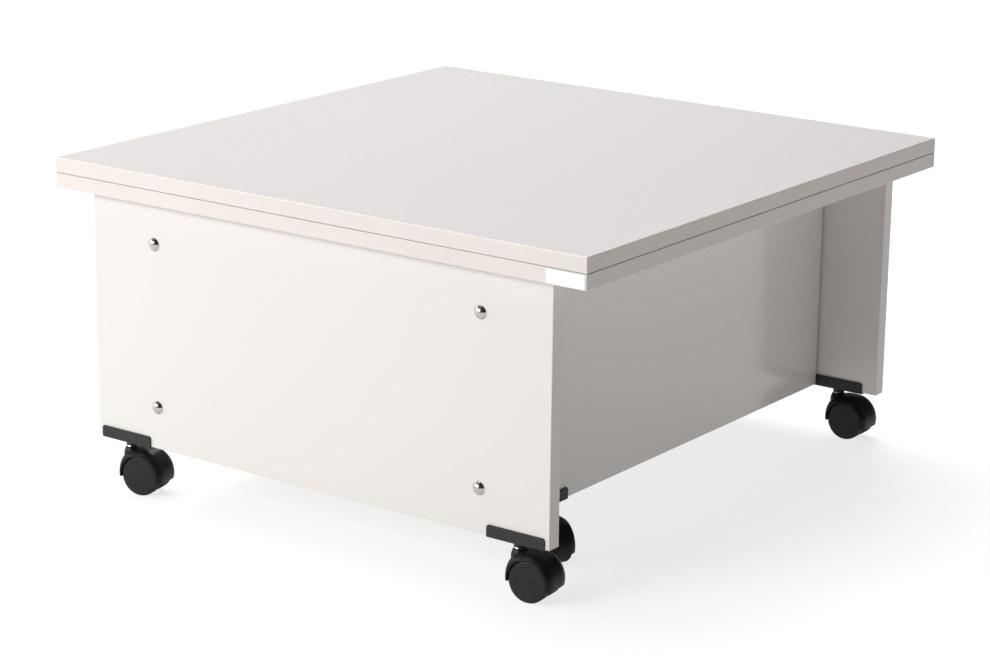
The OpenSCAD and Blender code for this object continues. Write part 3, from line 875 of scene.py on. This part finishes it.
def hinges():
    """Butt hinges: plates let into the edges, rolled knuckles and a plain pin."""
    low_end = box_mm("lower_hinge_plates")[0].z
    high_end = box_mm("upper_hinge_plates")[1].z
    pin_lo, pin_hi = box_mm("hinge_pins")
    axis = Vector(((pin_lo.x + pin_hi.x) / 2, 0, (pin_lo.z + pin_hi.z) / 2))
    knuckle_r, pin_r, pin_bore, pin_room = 2.5, 1.25, 1.35, 1.45
    half = 35.0
    middle = half / 3
    gap = 0.4
    outer_x = -385.0
    screw_steps = (-25, 25)

    def on_pin(y):
        return at((axis.x, y, axis.z), -90, "X")

    own = {
        "lower": [(-half, -middle - gap), (middle + gap, half)],
        "upper": [(-middle, middle)],
    }
    for which, body, z0, z1 in (
        ("lower", "lower_top", low_end, axis.z - 0.4),
        ("upper", "upper_top", axis.z + 0.4, high_end),
    ):
        others = own["upper" if which == "lower" else "lower"]
        bm = box_bm((outer_x, -half, z0), (outer_x + 1.2, half, z1))
        bevel(bm, [e for e in edges_along(bm, 0) if abs(e.verts[0].co.z / MM - axis.z) > 5],
              1.0, 3)
        bevel(bm, [
            e for e in sharp_edges(bm, 60)
            if all(v.co.x < (outer_x + 0.01) * MM for v in e.verts)
        ], 0.2, 2)
        plate = mesh_of(bm)
        cutters = []
        # room for the other leaf's knuckles, and for the pin all along
        rooms = [(knuckle_r + 0.4, a - gap, b + gap) for a, b in others]
        rooms.append((pin_room, -half - 1, half + 1))
        for r, a, b in rooms:
            cut = lathe([(0, a), (r, a), (r, b), (0, b)], 32)
            cut.transform(on_pin(0))
            cutters.append(cut)
        drop = -9 if which == "lower" else 9
        for step in screw_steps:
            sink = lathe([(0, -0.5), (3.1, -0.5), (3.1, 0), (1.7, 1.4), (1.7, 3), (0, 3)], 32)
            sink.transform(at((outer_x, step, axis.z + drop), 90, "Y"))
            cutters.append(sink)
        plate = booleaned(plate, cutters)
        parts = []
        screws = []
        for y in HINGE_PLACES:
            parts.append((plate, at((0, y, 0)), 0))
            for a, b in own[which]:
                knuckle = tube([(pin_bore, a + 0.15), (1.55, a), (knuckle_r - 0.25, a),
                                (knuckle_r, a + 0.25), (knuckle_r, b - 0.25),
                                (knuckle_r - 0.25, b), (1.55, b), (pin_bore, b - 0.15)], 40)
                parts.append((knuckle, on_pin(y), 0))
            for step in screw_steps:
                screws.append((FLAT, at((outer_x + 0.05, y + step, axis.z + drop), 90, "Y"), 0))
        piece(which + "_butt_hinges", gathered(parts), body, [ZINC],
              [which + "_hinge_plates"])
        piece(which + "_butt_hinge_screws", gathered(screws), body, [ZINC],
              [which + "_hinge_screws"])
    pin = lathe([(0, -half), (0.9, -half), (pin_r, -half + 0.35), (pin_r, half - 0.35),
                 (0.9, half), (0, half)], 32)
    parts = [(pin, on_pin(y), 0) for y in HINGE_PLACES]
    piece("butt_hinge_pins", gathered(parts), "lower_top", [ZINC], ["hinge_pins"])


hinges()


# ---------------------------------------------------------------- casters

# name, place of the stem, turn of the bracket, resting turn of the hood
CASTERS = [
    ("front_left", (-290, -364), 0, 12),
    ("front_right", (290, -364), 0, 5),
    ("rear_left", (-276, 364), 0, -12),
    ("rear_right", (276, 364), 0, 0),
    ("side_left", (-239, 254), 90, 35),
    ("side_right", (239, -254), 90, -25),
]
BOARD = 18.0
FLOOR_GAP = 64.0
SHEET = 2.0
BRACKET_LENGTH = 78.0
FLANGE_TOP = FLOOR_GAP + 13.0
WHEEL_R = 24.5
TRAIL = 20.0
COLLAR_LOW = 56.0
SEAT_LOW = 57.6
HOOD_TOP = COLLAR_LOW - 0.4


def bracket_mesh():
    """A pressed steel channel: bent corners and rounded flange ends."""
    half, out, low = BRACKET_LENGTH / 2, BOARD / 2 + SHEET, FLOOR_GAP - SHEET
    bend, corner = 2.2, 3.0
    stations = [-half + corner * (1 - math.cos(math.radians(15 * i))) for i in range(7)]
    stations += [-x for x in reversed(stations)]
    bm = bmesh.new()
    rings = []
    for x in stations:
        into = max(0.0, corner - (half - abs(x)))
        top = FLANGE_TOP - corner + math.sqrt(max(0.0, corner * corner - into * into))
        ring = [(-out, top)]
        ring += arc(-out + bend, low + bend, bend, 180, 270, 5)
        ring += arc(out - bend, low + bend, bend, 270, 360, 5)
        ring += [(out, top), (BOARD / 2, top), (BOARD / 2, FLOOR_GAP + 0.3),
                 (BOARD / 2 - 0.3, FLOOR_GAP), (0.3 - BOARD / 2, FLOOR_GAP),
                 (-BOARD / 2, FLOOR_GAP + 0.3), (-BOARD / 2, top)]
        rings.append([bm.verts.new((x * MM, y * MM, z * MM)) for y, z in ring])
    n = len(rings[0])
    for a, b in zip(rings, rings[1:]):
        for i in range(n):
            j = (i + 1) % n
            bm.faces.new((a[i], a[j], b[j], b[i]))
    bm.faces.new(rings[0])
    bm.faces.new(rings[-1])
    bmesh.ops.recalc_face_normals(bm, faces=bm.faces)
    bevel(bm, sharp_edges(bm, 55), 0.3, 2)
    return mesh_of(bm)


# hood's side section over a wheel, lip to crown: (half width, share of the way to the crown)
HOOD_SIDE = [(19.4, -0.12), (19.85, -0.08), (20.0, 0.0), (19.8, 0.09), (19.3, 0.2), (18.4, 0.36),
             (17.2, 0.54), (15.9, 0.7), (14.5, 0.83), (12.6, 0.93), (10.0, 0.98), (6.0, 1.0)]
HOOD_LIP = 25.75
# hood's crown: (angle from the rear over the top, radius from the axle)
HOOD_CROWN = [(-15, 29.4), (0, 29.3), (15, 28.7), (30, 28.4), (45, 29.0), (58, 29.9), (68, 30.0),
              (80, 29.6), (92, 29.6), (102, 30.3), (112, 31.8), (122, 33.2), (132, 33.6),
              (142, 33.1), (152, 32.2), (162, 31.2), (174, 30.2), (190, 29.4)]
SKIRT_REAR, SKIRT_FRONT = -14.5, 185.5


def crown_radius(angle):
    """The crown's radius, eased over its table's corners."""
    total = 0.0
    for shift in (-6, -3, 0, 3, 6):
        a = min(max(angle + shift, HOOD_CROWN[0][0]), HOOD_CROWN[-1][0])
        for (a0, r0), (a1, r1) in zip(HOOD_CROWN, HOOD_CROWN[1:]):
            if a <= a1:
                total += r0 + (r1 - r0) * (a - a0) / (a1 - a0)
                break
    return total / 5


def fullness(k, angle):
    """A side section's share of the way to the crown, squarer in the shoulder at the front."""
    front = min(max((angle - 100) / 25, 0.0), 1.0)
    return k if k <= 0 else k ** (1 - 0.5 * front * front * (3 - 2 * front))


def hood_mesh():
    """The twin-wheel hood: a rounded shell over both wheels with a socket for the stem."""
    steps = 100
    angles = [SKIRT_REAR + (SKIRT_FRONT - SKIRT_REAR) * i / steps for i in range(steps + 1)]
    crown = [crown_radius(a) for a in angles]
    levels = [(-w, k) for w, k in HOOD_SIDE] + [(w, k) for w, k in reversed(HOOD_SIDE)]
    bm = bmesh.new()
    rings = []
    for y, k in levels:
        ring = []
        for a, top in zip(angles, crown):
            r = HOOD_LIP + (top - HOOD_LIP) * fullness(k, a)
            turn = math.radians(a)
            ring.append(bm.verts.new(((TRAIL + r * math.cos(turn)) * MM, y * MM,
                                      (WHEEL_R + r * math.sin(turn)) * MM)))
        rings.append(ring)
    for a, b in zip(rings, rings[1:]):
        for i in range(len(angles)):
            j = (i + 1) % len(angles)
            bm.faces.new((a[i], a[j], b[j], b[i]))
    bm.faces.new(rings[0])
    bm.faces.new(rings[-1])
    shell = mesh_of(bm)
    web = lathe([(0, -4.5), (7.6, -4.5), (8, -4.1), (8, 4.1), (7.6, 4.5), (0, 4.5)], 48)
    web.transform(at((TRAIL, 0, WHEEL_R), 90, "X"))
    boss = lathe([(0, 33), (6.4, 33), (9.0, 38), (10.4, 43), (10.6, 47), (10.0, 50.5), (9.0, 53.0),
                  (8.5, 54.4), (8.0, 55.2), (7.4, HOOD_TOP), (0, HOOD_TOP)], 64)
    solid = booleaned(shell, [web, boss], "UNION")
    cutters = []
    for turn in (-90, 90):
        pocket = lathe([(0, 4.5), (24.9, 4.5), (25.1, 4.7), (25.1, 19.2), (25.25, 19.4),
                        (25.25, 26), (0, 26)], 100)
        pocket.transform(at((TRAIL, 0, WHEEL_R), turn, "X"))
        cutters.append(pocket)
    bore = lathe([(0, -20), (3, -20), (3, 20), (0, 20)], 32)
    bore.transform(at((TRAIL, 0, WHEEL_R), 90, "X"))
    low = FLOOR_GAP - SHEET - 18.4
    socket = lathe([(0, low), (4.05, low), (4.05, HOOD_TOP - 0.8), (4.8, HOOD_TOP + 0.1),
                    (4.8, HOOD_TOP + 1), (0, HOOD_TOP + 1)], 40)
    return booleaned(solid, cutters + [bore, socket])


TREAD_DEPTH = 0.2


def wheel_mesh():
    """One wheel, its axis on z: +z is the outer face, a shallow dome with a hub ring.

    Faces on the running surface take the second material, the tread.
    """
    r = WHEEL_R
    mesh = tube([
        (3.05, 5.0), (r - 1.8, 5.0), (r - 0.6, 5.5), (r, 6.6), (r, 16.4), (r - 0.1, 17.1),
        (r - 0.4, 17.75), (r - 0.95, 18.3), (r - 1.8, 18.7), (r - 3.1, 18.92), (r - 4.9, 19.05),
        (r - 7.5, 19.18), (12.7, 19.28), (12.3, 19.26), (11.9, 19.04), (11.3, 19.03), (10.9, 19.3),
        (10.3, 19.36), (5.0, 19.5), (0, 19.5), (0, 17.4), (3.05, 17.4)], 96)
    for face in mesh.polygons:
        if math.hypot(face.center.x, face.center.y) > (r - TREAD_DEPTH) * MM:
            face.material_index = 1
    return mesh


def casters():
    bracket, hood, wheel = bracket_mesh(), hood_mesh(), wheel_mesh()
    seat = tube([(4.02, SEAT_LOW), (6.7, SEAT_LOW), (7.3, SEAT_LOW + 0.5), (7.5, 61.2),
                 (8.2, FLOOR_GAP - SHEET + 0.05), (4.02, FLOOR_GAP - SHEET + 0.05)], 56)
    axle = lathe([(0, -17), (2.6, -17), (3, -16.6), (3, 16.6), (2.6, 17), (0, 17)], 40)
    stem = lathe([(0, 44), (3.2, 44), (4, 44.9), (4, 55.9), (6.6, COLLAR_LOW), (7.3, 56.3),
                  (7.5, 56.8), (7.3, 57.3), (6.8, SEAT_LOW),
                  (4, SEAT_LOW), (4, 63.9), (0, 63.9)], 56)
    brackets, screws, stems = [], [], []
    for name, (x, y), turn, yaw in CASTERS:
        mount = at((x, y, 0), turn)
        brackets += [(bracket, mount, 0), (seat, mount, 0)]
        for step in (-27, 27):
            screws.append((PAN_SHORT, mount @ at((step, 0, FLOOR_GAP - SHEET)), 0))
        stems.append((stem, mount, 0))
        place = at((x, y, 0), yaw)
        body = name + "_caster"
        piece(body + "_shell", gathered([(hood, place, 0)]), body,
              [HOOD_PLASTIC], [body + "_hood"])
        on_axle = place @ at((TRAIL, 0, WHEEL_R), 90, "X")
        piece(body + "_spindle", gathered([(axle, on_axle, 0)]), body, [ZINC],
              [body + "_axle"])
        for side, angle in (("left", 90), ("right", -90)):
            spot = place @ at((TRAIL, 0, WHEEL_R), angle, "X")
            piece(f"{body}_{side}_roller", gathered([(wheel, spot, 0)]), f"{name}_{side}_wheel",
                  [WHEEL_PLASTIC, TREAD], [f"{body}_{side}_wheel"])
    piece("pressed_caster_brackets", gathered(brackets), "base", [COATED_STEEL],
          ["caster_brackets"])
    piece("bracket_fixing_screws", gathered(screws), "base", [ZINC],
          ["bracket_screws"])
    piece("chrome_caster_stems", gathered(stems), "base", [CHROME], ["caster_stems"])


casters()


# ---------------------------------------------------------------- CAD nodes that stay

KEPT = {
    "upper_leaf": LAMINATE["Z"],
    "lower_leaf": LAMINATE["Z"],
    "front_end_panel": LAMINATE["Y"],
    "rear_end_panel": LAMINATE["Y"],
    "left_side_panel": LAMINATE["X"],
    "right_side_panel": LAMINATE["X"],
    "pivot_rail": LAMINATE_EDGED,
    "brace_rail": LAMINATE_EDGED,
}
for name, finish in KEPT.items():
    slots = nodes[name].data.materials
    slots.clear()
    slots.append(finish)


# ---------------------------------------------------------------- floor

def make_floor():
    bm = bmesh.new()
    bmesh.ops.create_grid(bm, x_segments=8, y_segments=8, size=30)
    mesh = mesh_of(bm)
    s = Shader("pale_floor", specular=0.1)
    s.colour(s.ramp(s.noise(900, 2), NOISE_LOW, NOISE_HIGH, shades((0.25, 0.25, 0.25), 0.01)))
    s.rough(s.spread(s.noise(300, 2), 0.75, 0.85))
    s.shader.inputs["Emission Color"].default_value = (1.0, 0.993, 0.985, 1)
    s.shader.inputs["Emission Strength"].default_value = 0.77
    mesh.materials.append(s.material)
    floor = bpy.data.objects.new("floor", mesh)
    scene.collection.objects.link(floor)


make_floor()
